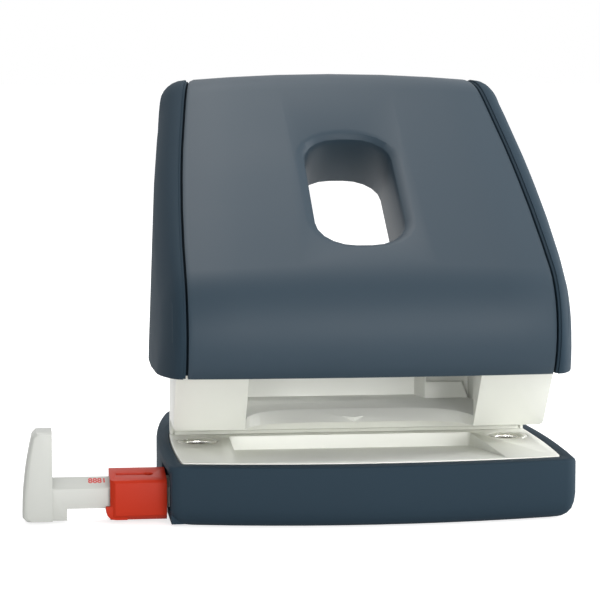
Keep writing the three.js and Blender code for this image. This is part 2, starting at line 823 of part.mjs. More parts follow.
// The low plate at the right end of the bay, and the corner behind it across a slot
function addPlate(body) {
  const low = shelfTop - clearance;
  const high = shelfTop + rearWallHeight - clearance;
  const rear = rearWallFront + clearance;
  const slot = plateFront + plateThickness;
  const face = [[plateInner, low], [plateOuter, low], [plateOuter - plateLean, shelfTop + plateHeight],
    [plateInner, shelfTop + plateHeight]];
  const root = [[plateRoot, rear], [plateInner - restGap, plateFront + restGap],
    [plateInner + clearance, plateFront + restGap], [plateInner + clearance, rear]];
  const behind = block(plateInner, flankInner + clearance, slot + plateSlot, rear, low, high);
  return body.add(prismY(face, plateFront, slot)).add(prismZ(root, low, high)).add(behind);
}

// A low rail with a rounded top edge, along the foot of the paper stop
function makeStopRail() {
  const half = blockOuter - postWidth - postGap;
  const foot = bedTop + restGap;
  const top = foot + stopRailHeight;
  const rear = paperMargin - restGap;
  const front = rear - stopRailDepth;
  return prismX([[rear, foot], [front, foot], [front, top - stopRailCorner],
    [front + stopRailCorner, top], [rear, top]], -half, half);
}

function makeBush() {
  const bore = pinRadius + clearance;
  const foot = guideTop + clearance;
  return turned([[bore, slotTop + clearance], [bushRadius, slotTop + clearance], [bushRadius, foot],
    [bushFlange, foot], [bushFlange, bushTop], [bore, bushTop]]);
}

// A punch pin: crescent-ground tip, groove for its cap, domed top
function makePin() {
  const neck = pinRadius - capGroove;
  const grooveTop = capTop + clearance;
  const grooveBottom = capBottom - clearance;
  const tilt = Math.asin(pinRadius / pinDomeRadius);
  const dome = arc(0, pinTop - pinDomeRadius, pinDomeRadius, Math.PI / 2 - tilt, Math.PI / 2, cornerSteps);
  const section = [[0, pinTip], [pinRadius, pinTip], [pinRadius, grooveBottom], [neck, grooveBottom],
    [neck, grooveTop], [pinRadius, grooveTop], ...dome.slice(0, -1), [0, pinTop]];
  const line = section.map(([r, z]) => new THREE.Vector2(r, z));
  const pin = solid(new THREE.LatheGeometry(line, coarseSteps).rotateX(Math.PI / 2));
  const reach = pinRadius + overrun;
  const steep = pinNotchHeight * (reach / pinRadius);
  const notch = prismY([[-reach, pinTip - overrun], [-reach, pinTip], [0, pinTip + steep], [reach, pinTip],
    [reach, pinTip - overrun]], -reach, reach);
  const apexDrop = steep - pinNotchHeight;
  return pin.subtract(solid(geometryOf(notch).translate(0, 0, -apexDrop)));
}

function makeCap() {
  const bore = pinRadius - capGroove + clearance;
  return turned([[bore, capBottom], [capRadius, capBottom], [capRadius, capTop - capBevel],
    [capRadius - capBevel, capTop], [bore, capTop]]);
}

// The centre line of a coil spring that stands upright
class Helix extends THREE.Curve {
  constructor(radius, turns, from, to) {
    super();
    Object.assign(this, { radius, turns, from, to });
  }

  getPoint(t, target = new THREE.Vector3()) {
    const angle = t * this.turns * 2 * Math.PI;
    return target.set(this.radius * Math.cos(angle), this.radius * Math.sin(angle),
      this.from + (this.to - this.from) * t);
  }
}

// The least distance between the surfaces of neighbouring turns
function leastCoilGap(helix) {
  const perTurn = coilSteps * gapSamples;
  const points = Array.from({ length: helix.turns * perTurn + 1 },
    (_, i) => helix.getPoint(i / (helix.turns * perTurn)));
  let least = Infinity;
  points.forEach((p, i) => {
    for (let j = i + perTurn / 2; j < points.length; j += 1) {
      least = Math.min(least, p.distanceTo(points[j]));
    }
  });
  return least - springWire;
}

function makeSpring() {
  const from = bushTop + clearance + springWire / 2;
  const to = capBottom - clearance - springWire / 2;
  const helix = new Helix(springRadius, springTurns, from, to);
  console.log(`return spring: least gap to itself ${leastCoilGap(helix).toFixed(2)} mm`);
  const wire = new THREE.Shape(arc(0, 0, springWire / 2, 0, 2 * Math.PI, coilSides).slice(0, -1)
    .map(([u, v]) => new THREE.Vector2(u, v)));
  return solid(new THREE.ExtrudeGeometry(wire,
    { steps: springTurns * coilSteps, extrudePath: helix, bevelEnabled: false }));
}

// The pivot axle, with a groove near each end for its clip
function makeAxle() {
  let axle = rodX(axleRadius, -axleHalf, axleHalf, pivotY, pivotHeight);
  const neck = axleRadius - clipGroove;
  for (const side of [-1, 1]) {
    const [x0, x1] = clipSpan(side);
    const ring = rodX(axleRadius + overrun, x0 - clearance, x1 + clearance, pivotY, pivotHeight)
      .subtract(rodX(neck, x0 - overrun, x1 + overrun, pivotY, pivotHeight));
    axle = axle.subtract(ring);
  }
  return axle;
}

function clipSpan(side) {
  const outer = axleHalf - clipInset;
  return side > 0 ? [outer - clipThickness, outer] : [-outer, clipThickness - outer];
}

function makeClip(side) {
  const [x0, x1] = clipSpan(side);
  const bore = axleRadius - clipGroove + clearance;
  let clip = rodX(clipRadius, x0, x1, pivotY, pivotHeight, fineSteps);
  clip = clip.subtract(rodX(bore, x0 - overrun, x1 + overrun, pivotY, pivotHeight, fineSteps));
  return clip.subtract(block(x0 - overrun, x1 + overrun, pivotY - clipMouth / 2, pivotY + clipMouth / 2,
    pivotHeight - clipRadius - overrun, pivotHeight));
}

// Side view of the lever's skin, from the nose over the top to the rear lip,
// set inwards by a distance that may be negative and may change towards the rear
function skinPath(inset, rearInset = inset) {
  const topCentre = skinTopCentre();
  const start = Math.PI + Math.asin((noseCentreHeight - leverBottom) / noseRadius);
  const nose = arc(0, 0, 1, start, Math.PI / 2 + slope, arcSteps);
  const crest = arc(0, 0, 1, Math.PI / 2 + slope, Math.PI / 2, cornerSteps);
  const rear = Math.max(rearRadius - rearInset, leastRearRadius);
  const rearCentreZ = topCentre[1] + topRadius - rearInset - rear;
  return [
    ...nose.map(([y, z]) => (z > 0
      ? [(noseRadius - inset) * y - noseCentreBack, (noseRadius - inset) * z + noseCentreHeight]
      : [noseRadius * y + inset - noseCentreBack, noseRadius * z + noseCentreHeight])),
    ...slopeStations().map((y) => [y + inset * Math.sin(slope), slopeHeight(y) - inset * Math.cos(slope)]),
    ...crest.map(([y, z], i) => {
      const radius = topRadius - inset - (rearInset - inset) * (i / cornerSteps);
      return [topCentre[0] + radius * y, topCentre[1] + radius * z];
    }),
    ...arc(topCentre[0], rearCentreZ, rear, Math.PI / 2, 0, cornerSteps).slice(1),
    [topCentre[0] + rear, rearLipBottom],
  ];
}

// Centre of the curve in which the slope runs out at the rear
function skinTopCentre() {
  return [
    -noseCentreBack - Math.sin(slope) * (noseRadius - topRadius) + Math.cos(slope) * slopeLength,
    noseCentreHeight + Math.cos(slope) * (noseRadius - topRadius) + Math.sin(slope) * slopeLength,
  ];
}

// Places along the slope at which the skin has points of its own
function slopeStations() {
  const corners = cheekCorners().slice(1, -1).map(([y]) => y);
  const front = corners[0] / 2;
  const rear = (corners[corners.length - 1] + skinTopCentre()[0]) / 2;
  return [-slabStartY, -front, front, ...corners, rear];
}

// Height of the lever's top at a place along Y, on its straight slope
function slopeHeight(y) {
  const touchY = -noseCentreBack - noseRadius * Math.sin(slope);
  const touchZ = noseCentreHeight + noseRadius * Math.cos(slope);
  return touchZ + (y - touchY) * Math.tan(slope);
}

// The corners of a lever side's lower edge, from the nose to the rear lip
function cheekCorners() {
  const nose = -noseCentreBack - noseRadius;
  return [
    [nose, leverBottom],
    [cheekRear - cheekCorner, leverBottom],
    [cheekRear - cheekLean, leverBottom + cheekCorner],
    [cheekRear + cheekLean, cheekShoulderHeight],
    [slabStartY, slopeHeight(slabStartY) - slabDepth],
    [skinTopCentre()[0] + rearRadius, rearLipBottom],
  ];
}

// Points of the lower edge that face those of a skin path, from the rear to the nose
function lowerEdge(path, drop) {
  const skin = skinPath(0);
  const corners = cheekCorners();
  const rearY = skinTopCentre()[0];
  const low = skin.map(([y], i) => {
    const nose = path[0][0] + (path[arcSteps][0] - path[0][0]) * (i / arcSteps);
    const place = i <= arcSteps ? nose : Math.min(y, rearY + (y - rearY) * rearLipShare);
    return [place + drop * (1 - i / skin.length), between(corners, place) - drop];
  });
  return low.slice(1, -1).reverse();
}

// Height at a place along a broken line of (place, height) points
function between(line, place) {
  const next = Math.max(line.findIndex(([y]) => y >= place), 1);
  const [y0, z0] = line[next - 1];
  const [y1, z1] = line[next];
  return z0 + (z1 - z0) * ((place - y0) / (y1 - y0));
}

function grooveAt(y) {
  return grooveHalf - Math.max(y - grooveFrontY, 0) ** 2 / (2 * grooveRadius);
}

function sideAt(y, z) {
  const radius = y < sideWidestY ? sideFrontRadius : sideRadius;
  return sideHalf - (y - sideWidestY) ** 2 / (2 * radius) - (z - leverBottom) * sideDraftShare;
}

// Points of the hand opening at a depth below the lever's top, grown by a margin
function holeRing(depth, margin) {
  const half = holeHalfWidth + margin;
  const length = holeHalfLength + margin;
  const corner = holeCorner + margin;
  const outline = bothSides([[0, -length], ...arc(half - corner, corner - length, corner, -Math.PI / 2, 0,
    cornerSteps), ...arc(half - corner, length - corner, corner, 0, Math.PI / 2, cornerSteps), [0, length]]);
  const angle = THREE.MathUtils.degToRad(holeDegrees);
  const travel = depth / Math.sin(slope - angle);
  const centreZ = slopeHeight(holeCentreY) + skinCrown / Math.cos(slope);
  return outline.map(([x, along]) => new THREE.Vector3(x,
    holeCentreY + along * Math.cos(slope) + travel * Math.cos(angle),
    centreZ + along * Math.sin(slope) + travel * Math.sin(angle)));
}

// The lever's middle cover: a bowed skin with a collared hand opening and screw bosses
function makeLeverCover() {
  const rings = widthShares.map((share) => {
    const crown = skinCrown * (1 - share * share);
    const drop = Math.abs(share) < 1 ? 0 : coverEdgeDrop;
    const strip = [...skinPath(drop - crown), ...skinPath(skinThickness - crown).reverse()];
    return strip.map(([y, z]) => new THREE.Vector3(share * (grooveAt(y) - grooveWidth / 2), y, z));
  });
  let cover = loft(rings, openLadder);
  const room = skinThickness / 2;
  cover = cover.add(loft([holeRing(room, holeFillet + room), holeRing(holeFillet + collarWall, collarWall + room),
    holeRing(collarDepth, collarWall)]));
  const cut = holeDepthShares.map(([down, out]) => holeRing(down * holeFillet, out * holeFillet));
  cover = cover.subtract(loft([...cut, holeRing(collarDepth + overrun, 0)]));
  for (const [x, y] of coverScrewPlaces()) {
    cover = cover.add(slopeRod(coverBossRadius, x, y, skinThickness / 2, skinThickness + coverBossHeight));
    cover = cover.subtract(slopeRod(screwRadius + clearance, x, y, skinThickness / 2 + clearance,
      skinThickness + coverBossHeight + overrun));
  }
  return cover;
}

function coverScrewPlaces() {
  return [-1, 1].flatMap((side) => [tabFrontY, tabRearY].map((y) => [side * coverScrewX, y]));
}

// A round rod square to the lever's slope, between two depths below it
function slopeRod(radius, x, y, from, to) {
  const geometry = new THREE.CylinderGeometry(radius, radius, to - from, coarseSteps);
  geometry.translate(0, -(from + to) / 2, 0).rotateX(Math.PI / 2 + slope);
  return solid(geometry.translate(x, y, slopeHeight(y)));
}

// A box on the lever's slope: across X, along the slope and between two depths
function slopeBlock(x0, x1, y, half, from, to) {
  const geometry = new THREE.BoxGeometry(x1 - x0, 2 * half, to - from);
  geometry.translate((x0 + x1) / 2, 0, -(from + to) / 2).rotateX(slope);
  return solid(geometry.translate(0, y, slopeHeight(y)));
}

// A side view ring of a lever side, with its lower edge dropped by a distance.
// A function of (y, z) gives the place of each point across the lever.
function sideRing(inset, drop, xAt, rearInset = inset) {
  const path = skinPath(inset, rearInset);
  path[0][1] -= drop;
  path[path.length - 1][1] -= drop;
  return [...path, ...lowerEdge(path, drop)].map(([y, z]) => new THREE.Vector3(xAt(y, z), y, z));
}

// The right side of the lever: rounded band and cheek, with a lip and a ledge
// that close the groove along the cover's edge
function makeLeverSide() {
  const edge = (y) => grooveAt(y) + grooveWidth / 2;
  const rounding = (share) => sideRound * (1 - Math.sqrt(1 - share * share));
  const band = roundingShares.map((share) => sideRing(rounding(share), 0,
    (y, z) => edge(y) + (sideAt(y, z) - edge(y)) * share, rounding(share) * rearRoundShare));
  const ledgeDepth = skinThickness + clearance;
  const lip = [-1, 1].map((end) => sideRing(grooveDepth, -restGap, (y) => edge(y) + end * lipReach));
  const ledge = [-ledgeReach, ledgeReach].map((reach) => sideRing(ledgeDepth, -2 * clearance,
    (y) => edge(y) + reach));
  const deep = ledgeDepth + ledgeThickness;
  const room = [sideRing(deep, overrun, (y) => edge(y) - ledgeReach - overrun), ...roomShares.map((share) => {
    const more = (rounding(share) - rounding(roomShares[0])) * roomRoundShare;
    return sideRing(deep + more, overrun, (y, z) => edge(y) + (sideAt(y, z) - sideWall - edge(y)) * share,
      deep + more * rearRoundShare);
  })];
  return loft(band, ladder).add(loft(lip, ladder)).add(loft(ledge, ladder)).subtract(loft(room, ladder));
}

// The steel frame inside the lever: two arms, a tie, press pads over the pins, and tabs
function makeLeverFrame() {
  const drop = (skinThickness + clearance) / Math.cos(slope);
  const top = (y) => slopeHeight(y) - drop;
  const heel = arc(pivotY, pivotHeight, armBoss, -Math.PI, -Math.PI / 4, cornerSteps);
  const outline = [...heel, [armWaistY, armWaistHeight], [armWaistY, padBottom], [padRear, padBottom],
    [armHeelY, armHeelHeight], [armTopRear, top(armTopRear)], [-armTopFront, top(-armTopFront)],
    [armNoseY, armNoseHeight]];
  let frame = prismX(outline, armInner, armOuter).add(prismX(outline, -armOuter, -armInner));
  frame = frame.add(block(-armOuter, armOuter, -tieFront, -tieRear, tieHeight, tieHeight + tieThickness));
  const depth = skinThickness + coverBossHeight + clearance;
  for (const side of [-1, 1]) {
    const [x0, x1] = side > 0 ? [armInner, padHalf] : [-padHalf, -armInner];
    frame = frame.add(block(x0, x1, -padFront, padRear, padBottom, padBottom + padThickness));
    const [t0, t1] = side > 0 ? [armInner, armOuter + tabReach] : [-armOuter - tabReach, -armInner];
    for (const y of [tabFrontY, tabRearY]) {
      frame = frame.add(slopeBlock(t0, t1, y, tabHalf, depth, depth + tabThickness));
    }
  }
  for (const [x, y] of coverScrewPlaces()) {
    frame = frame.subtract(slopeRod(screwRadius + clearance, x, y, depth - overrun, depth + tabThickness + overrun));
  }
  return frame.subtract(rodX(axleRadius + clearance, -armOuter - overrun, armOuter + overrun,
    pivotY, pivotHeight, fineSteps));
}

// A pan-head screw with a cross recess, standing on its head at height zero
function screw(length) {
  const head = rodZ(screwHead, 0, 0, -screwHeadHeight, 0, screwSteps);
  let body = head.add(rodZ(screwRadius, 0, 0, -screwHeadHeight / 2, length, screwSteps));
  const low = -screwHeadHeight - overrun;
  const deep = screwSlotDepth - screwHeadHeight;
  const arm = screwHead - screwSlot;
  const half = screwSlot / 2;
  body = body.subtract(block(-arm, arm, -half, half, low, deep));
  return body.subtract(block(-half, half, -arm, arm, low, deep));
}

// The four screws that hold the punch frame down, put in from below
function frameScrews() {
  const seat = screwSeat - clearance;
  const one = geometryOf(screw(shelfTop - screwTipRoom - clearance - seat));
  return frameScrewPlaces().map(([x, y], i) => {
    const mesh = piece(`frame_screw_${i + 1}`, one, darkSteel);
    mesh.position.set(x, y, seat);
    return mesh;
  });
}

function frameScrewPlaces() {
  return [-1, 1].flatMap((side) => [screwFrontY, screwRearY].map((y) => [side * screwX, y]));
}

// The four screws that hold the lever's cover to the frame, square to its slope
function coverScrews() {
  const seat = skinThickness + coverBossHeight + clearance + tabThickness + clearance;
  const one = geometryOf(screw(seat - skinThickness));
  return coverScrewPlaces().map(([x, y], i) => {
    const mesh = piece(`cover_screw_${i + 1}`, one, darkSteel);
    mesh.position.set(x, y + seat * Math.sin(slope), slopeHeight(y) - seat * Math.cos(slope));
    mesh.rotation.set(slope, 0, 0);
    return mesh;
  });
}

// Section of the guide bar, grown by a margin for the holes that it slides through
function barOutline(margin) {
  const ridge = (barTop - barRidge) / 2;
  return [[-barFront - margin, barBottom - margin], [-barRear + margin, barBottom - margin],
    [-barRear + margin, barTop + margin], [-barRear - ridge - margin, barTop + margin],
    [-barFront - margin, barRidge + margin]];
}

// Outline of the guide's stop at a depth, with its outer side and its top set back
function stopRing(y, back) {
  const outer = stopInner + stopBottomWidth - back;
  const top = stopTop - back * stopTopShare;
  const topOuter = stopInner + stopTopWidth - back * stopSideShare;
  const outline = [[-stopInner, stopBottom], [stopRound - outer, stopBottom],
    ...bend([-outer, stopBottom + stopRound], [-outer, (stopBottom + stopTop) / 2],
      [-topOuter, top - stopRound], arcSteps),
    [stopRound - topOuter, top], [-stopInner, top]];
  return outline.map(([x, z]) => new THREE.Vector3(x, y, z));
}

// The guide bar with the upright stop that catches the sheet's edge
function makeGuideBar() {
  const bar = prismX(barOutline(0), -stopInner - clearance, barInner);
  const [depth, back] = stopBevelShares.map((share) => share * stopBevel);
  const stop = loft([stopRing(-stopFront, stopBevel), stopRing(depth - stopFront, back),
    stopRing(stopBevel - stopFront, 0), stopRing(-stopRear, 0)]);
  const foot = block(-stopInner - clearance, stopFoot - stopInner, -barFront, -barRear, stopBottom,
    barBottom + clearance);
  return bar.add(stop).add(foot);
}

// The lock: a sleeve around the bar, with a keyhole slot in its top
function makeGuideLock() {
  const outline = [[-lockRear, lockBottom], [lockRound - lockFront, lockBottom],
    [-lockFront, lockBottom + lockRound], [-lockFront, lockTopFront - lockRound / 2],
    [lockRound / 2 - lockFront, lockTopFront], [-lockRear, lockTopRear]];
  let lock = prismX(outline, -lockOuter, -lockInner);
  const low = -lockOuter - overrun;
  const near = -lockFront - overrun;
  lock = lock.subtract(prismZ([[low, near], [low + lockBevel + 2 * overrun, near],
    [low, near + lockBevel + 2 * overrun]], 0, 2 * lockTopRear));
  const tip = lockOuter + hookReach;
  lock = lock.add(prismY([[hookRound - tip, lockBottom], [2 * hookRound - tip, lockBottom],
    [2 * hookRound - tip, hookTop], [-tip, hookTop],
    ...bend([-tip, hookTop - clearance], [-tip, lockBottom], [hookRound - tip, lockBottom],
      cornerSteps).slice(0, -1)],
  lockRound / 2 - lockFront, -lockRear));
  lock = lock.subtract(prismX(barOutline(clearance), -lockOuter - overrun, overrun - lockInner));
  const rear = lockSlotWidth - lockSlotFront;
  const slotFloor = barTop;
  const slotStart = lockInner + lockSlotStart;
  const slotEnd = lockInner + lockSlotEnd;
  lock = lock.subtract(block(-slotStart, -slotEnd, -lockSlotFront, rear, slotFloor, lockTopRear + overrun));
  return lock.subtract(rodZ(lockSlotEye, -slotEnd, -lockSlotFront + lockSlotWidth / 2, slotFloor,
    lockTopRear + overrun));
}

function piece(name, geometry, material, x = 0) {
  const mesh = new THREE.Mesh(geometry, material);
  mesh.name = name;
  mesh.position.set(x, 0, 0);
  return mesh;
}

function group(...children) {
  const parent = new THREE.Group();
  parent.add(...children);
  return parent;
}

// A piece that stands on each side of the middle, at the same distance
function pair(name, geometry, material, x) {
  return [piece(`${name}_left`, geometry, material, -x), piece(`${name}_right`, geometry, material, x)];
}

const base = group(
  piece('base_shell', geometryOf(makeBaseShell()), navyPlastic),
  piece('chip_door', geometryOf(makeChipDoor()), navyPlastic),
  piece('bed_plate', geometryOf(makeBedPlate()), paleFrame),
  ...pair('die', geometryOf(makeDie()), steel, pinX),
  piece('punch_frame', geometryOf(makePunchFrame()), paleFrame),
  piece('paper_stop_rail', geometryOf(makeStopRail()), paleFrame),
  ...pair('guide_bush', geometryOf(makeBush()), brass, pinX),
  piece('pivot_axle', geometryOf(makeAxle()), steel),
  piece('axle_clip_left', geometryOf(makeClip(-1)), darkSteel),
  piece('axle_clip_right', geometryOf(makeClip(1)), darkSteel),
  ...frameScrews(),
);

const punches = group(
  ...pair('punch_pin', geometryOf(makePin()), steel, pinX),
  ...pair('spring_cap', geometryOf(makeCap()), darkSteel, pinX),
  ...pair('return_spring', geometryOf(makeSpring()), steel, pinX),
);

const sideGeometry = geometryOf(makeLeverSide());
const lever = group(
  piece('lever_cover', geometryOf(makeLeverCover()), navyPanel),
  piece('lever_side_left', mirrored(sideGeometry), navyPlastic),
  piece('lever_side_right', sideGeometry, navyPlastic),
  piece('lever_frame', geometryOf(makeLeverFrame()), darkSteel),
  ...coverScrews(),
);

const guide = group(
  piece('guide_bar', geometryOf(makeGuideBar()), paleFrame),
  piece('guide_lock', geometryOf(makeGuideLock()), redPlastic),
);

export default group(base, punches, lever, guide);
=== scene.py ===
# Looks of the two-hole punch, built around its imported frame. Lengths are in metres.

import json
import math

import bpy
from mathutils import Euler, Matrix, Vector

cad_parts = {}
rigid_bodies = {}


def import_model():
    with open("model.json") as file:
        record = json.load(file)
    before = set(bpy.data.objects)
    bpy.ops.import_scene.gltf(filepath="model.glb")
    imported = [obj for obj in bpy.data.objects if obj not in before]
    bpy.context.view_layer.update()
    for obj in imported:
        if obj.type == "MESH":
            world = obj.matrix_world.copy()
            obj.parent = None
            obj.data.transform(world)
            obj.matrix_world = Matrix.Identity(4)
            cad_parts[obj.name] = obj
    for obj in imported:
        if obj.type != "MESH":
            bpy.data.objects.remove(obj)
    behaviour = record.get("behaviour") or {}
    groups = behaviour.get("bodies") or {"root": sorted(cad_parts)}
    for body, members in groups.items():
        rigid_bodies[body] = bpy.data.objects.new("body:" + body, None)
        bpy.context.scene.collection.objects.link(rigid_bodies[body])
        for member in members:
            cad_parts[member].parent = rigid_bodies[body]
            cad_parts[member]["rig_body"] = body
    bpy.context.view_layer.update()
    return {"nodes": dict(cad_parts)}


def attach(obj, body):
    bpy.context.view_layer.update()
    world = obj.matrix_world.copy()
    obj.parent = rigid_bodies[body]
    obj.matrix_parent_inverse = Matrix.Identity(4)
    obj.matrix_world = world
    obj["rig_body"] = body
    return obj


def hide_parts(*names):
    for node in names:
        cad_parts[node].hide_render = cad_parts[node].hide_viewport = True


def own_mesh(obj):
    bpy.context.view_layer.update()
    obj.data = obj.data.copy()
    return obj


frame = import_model()
nodes = frame["nodes"]

MM = 0.001
WHITE = (1, 1, 1, 1)


# Node groups that the finishes share

GRAIN_COUNT = 1000.0  # noise scale for a grain size of one millimetre
GRAIN_DETAIL = 2.0
GRAIN_SOFTNESS = 0.55
GRAIN_DEPTH = 0.05 * MM
DRIFT_SCALE = 28.0
DRIFT_DETAIL = 3.0
DRIFT_IN_TONE = 0.22
DRIFT_IN_GLOSS = 0.16
LINE_SCALE = 120.0
LINE_DETAIL = 4.0
LINE_DEPTH = 0.02 * MM
LINES_IN_TONE = 0.5
LINES_IN_GLOSS = 0.35
NOISE_MEAN = 0.5


def new_group(name, inputs):
    """An empty shader node group that gives colour, roughness and height, and its end nodes."""
    group = bpy.data.node_groups.new(name, "ShaderNodeTree")
    for title, kind, value in inputs:
        socket = group.interface.new_socket(title, in_out="INPUT", socket_type=kind)
        socket.default_value = value
    for title, kind in (("Color", "NodeSocketColor"), ("Roughness", "NodeSocketFloat"),
                        ("Height", "NodeSocketFloat")):
        group.interface.new_socket(title, in_out="OUTPUT", socket_type=kind)
    return group, group.nodes.new("NodeGroupInput"), group.nodes.new("NodeGroupOutput")


def node(tree, kind, inputs=(), **settings):
    """A new node with its settings, and its inputs given as (name or number, value or socket)."""
    made = tree.nodes.new(kind)
    for key, value in settings.items():
        setattr(made, key, value)
    for target, source in inputs:
        if hasattr(source, "is_output"):
            tree.links.new(source, made.inputs[target])
        else:
            made.inputs[target].default_value = source
    return made


def calculated(tree, operation, *values):
    """The output of a math node that works on numbers and sockets."""
    return node(tree, "ShaderNodeMath", enumerate(values), operation=operation).outputs[0]


def varied(group, start, end, noise, strength, in_tone, in_gloss):
    """Lets a noise vary the colour and roughness that a group gives. Returns how much it
    varies them, which is nought on average."""
    centred = calculated(group, "SUBTRACT", noise, NOISE_MEAN)
    amount = calculated(group, "MULTIPLY", centred, start.outputs[strength])
    tone = calculated(group, "MULTIPLY_ADD", amount, in_tone, 1.0)
    tinted = node(group, "ShaderNodeVectorMath", [(0, start.outputs["Color"]), ("Scale", tone)],
                  operation="SCALE")
    gloss = calculated(group, "MULTIPLY_ADD", amount, in_gloss, start.outputs["Roughness"])
    group.links.new(tinted.outputs[0], end.inputs["Color"])
    group.links.new(gloss, end.inputs["Roughness"])
    return amount


def moulded_group():
    """Fine spark-eroded grain of moulded plastic, with a slow drift in tone and gloss."""
    group, start, end = new_group("moulded_surface", [
        ("Color", "NodeSocketColor", WHITE), ("Grain Size", "NodeSocketFloat", 0.4),
        ("Grain", "NodeSocketFloat", 0.5), ("Drift", "NodeSocketFloat", 0.5),
        ("Roughness", "NodeSocketFloat", 0.4)])
    place = node(group, "ShaderNodeTexCoord").outputs["Object"]
    count = calculated(group, "DIVIDE", GRAIN_COUNT, start.outputs["Grain Size"])
    grain = node(group, "ShaderNodeTexNoise", [
        ("Vector", place), ("Scale", count), ("Detail", GRAIN_DETAIL),
        ("Roughness", GRAIN_SOFTNESS)])
    drift = node(group, "ShaderNodeTexNoise", [
        ("Vector", place), ("Scale", DRIFT_SCALE), ("Detail", DRIFT_DETAIL)])
    varied(group, start, end, drift.outputs[0], "Drift", DRIFT_IN_TONE, DRIFT_IN_GLOSS)
    height = calculated(group, "MULTIPLY", grain.outputs[0], start.outputs["Grain"])
    group.links.new(height, end.inputs["Height"])
    return group


def machined_group():
    """Fine lines that a lathe or grinder leaves along one direction of a metal surface."""
    group, start, end = new_group("machined_surface", [
        ("Color", "NodeSocketColor", WHITE), ("Stretch", "NodeSocketVector", (1, 1, 30)),
        ("Lines", "NodeSocketFloat", 0.5), ("Roughness", "NodeSocketFloat", 0.3)])
    place = node(group, "ShaderNodeTexCoord").outputs["Object"]
    spread = node(group, "ShaderNodeVectorMath", [(0, place), (1, start.outputs["Stretch"])],
                  operation="MULTIPLY")
    lines = node(group, "ShaderNodeTexNoise", [
        ("Vector", spread.outputs[0]), ("Scale", LINE_SCALE), ("Detail", LINE_DETAIL)])
    height = varied(group, start, end, lines.outputs[0], "Lines", LINES_IN_TONE, LINES_IN_GLOSS)
    group.links.new(height, end.inputs["Height"])
    return group


MOULDED = moulded_group()
MACHINED = machined_group()


def surface(name, group, colour, relief, depth, pattern, shader):
    """A material whose colour, gloss and relief come from one of the groups."""
    material = bpy.data.materials.new(name)
    material.use_nodes = True
    tree = material.node_tree
    principled = tree.nodes["Principled BSDF"]
    given = node(tree, "ShaderNodeGroup", node_tree=group)
    given.inputs["Color"].default_value = (*colour, 1)
    for title, value in pattern.items():
        given.inputs[title].default_value = value
    bump = node(tree, "ShaderNodeBump", [
        ("Height", given.outputs["Height"]), ("Strength", relief), ("Distance", depth)])
    tree.links.new(given.outputs["Color"], principled.inputs["Base Color"])
    tree.links.new(given.outputs["Roughness"], principled.inputs["Roughness"])
    tree.links.new(bump.outputs["Normal"], principled.inputs["Normal"])
    for title, value in shader.items():
        principled.inputs[title].default_value = value
    material.diffuse_color = (*colour, 1)
    return material


def moulding(name, colour, relief, grain_size, grain, drift, roughness, specular,
             depth=GRAIN_DEPTH):
    """A plastic or paint with grain, whose grain size is in millimetres."""
    pattern = {"Grain Size": grain_size, "Grain": grain, "Drift": drift, "Roughness": roughness}
    return surface(name, MOULDED, colour, relief, depth, pattern,
                   {"Specular IOR Level": specular})


def metal(name, colour, relief, stretch, lines, roughness, metallic=1.0):
    """A machined or plated metal with fine lines."""
    pattern = {"Stretch": stretch, "Lines": lines, "Roughness": roughness}
    return surface(name, MACHINED, colour, relief, LINE_DEPTH, pattern,
                   {"Metallic": metallic})


navy_band = moulding("navy_moulding", (0.019, 0.035, 0.050), relief=0.25, grain_size=0.35,
                     grain=0.5, drift=0.5, roughness=0.75, specular=0.12)
navy_cover = moulding("navy_grained_panel", (0.024, 0.042, 0.059), relief=0.35, grain_size=0.3,
                      grain=0.7, drift=0.5, roughness=0.54, specular=0.27, depth=0.06 * MM)
warm_white = moulding("warm_white_paint", (0.80, 0.81, 0.75), relief=0.15, grain_size=0.9,
                      grain=0.4, drift=0.25, roughness=0.38, specular=0.5)
# The guide bar is the same white plastic as the frame, made darker here as painted shade: the bar
# stands outside the lever's shadow and gets more light than the bearing blocks.
guide_white_painted_shade = moulding("warm_white_with_painted_shade", (0.485, 0.495, 0.465), relief=0.15,
                         grain_size=0.5, grain=0.4, drift=0.25, roughness=0.42, specular=0.4)
red_moulding = moulding("red_moulding", (0.42, 0.024, 0.006), relief=0.15, grain_size=0.5,
                        grain=0.3, drift=0.3, roughness=0.45, specular=0.14)
red_print = moulding("red_print", (0.46, 0.02, 0.015), relief=0.1, grain_size=0.5,
                     grain=0.2, drift=0.2, roughness=0.5, specular=0.4, depth=0.02 * MM)
ground_steel = metal("ground_steel", (0.62, 0.63, 0.63), relief=0.3, stretch=(1, 1, 25),
                     lines=0.6, roughness=0.28)
satin_steel = metal("satin_steel", (0.86, 0.86, 0.82), relief=0.2, stretch=(3, 3, 3),
                    lines=0.3, roughness=0.26, metallic=0.85)
plated_steel = metal("plated_steel", (0.34, 0.35, 0.36), relief=0.3, stretch=(3, 3, 3),
                     lines=0.5, roughness=0.38)
turned_brass = metal("turned_brass", (0.66, 0.48, 0.22), relief=0.3, stretch=(1, 1, 25),
                     lines=0.5, roughness=0.3)

SCREWS = [f"{kind}_screw_{i}" for kind in ("frame", "cover") for i in range(1, 5)]
FINISHES = {
    navy_band: ["base_shell", "chip_door", "lever_side_left", "lever_side_right"],
    navy_cover: ["lever_cover"],
    warm_white: ["bed_plate", "punch_frame", "paper_stop_rail"],
    # the guide bar's white carries painted shade
    guide_white_painted_shade: ["guide_bar"],
    red_moulding: ["guide_lock"],
    satin_steel: ["die_left", "die_right"],
    ground_steel: ["punch_pin_left", "punch_pin_right", "pivot_axle",
                   "return_spring_left", "return_spring_right"],
    plated_steel: ["axle_clip_left", "axle_clip_right", "spring_cap_left", "spring_cap_right",
                   "lever_frame", *SCREWS],
    turned_brass: ["guide_bush_left", "guide_bush_right"],
}
for finish, names in FINISHES.items():
    for name in names:
        nodes[name].data.materials.clear()
        nodes[name].data.materials.append(finish)


# Edges of the moulded and pressed pieces

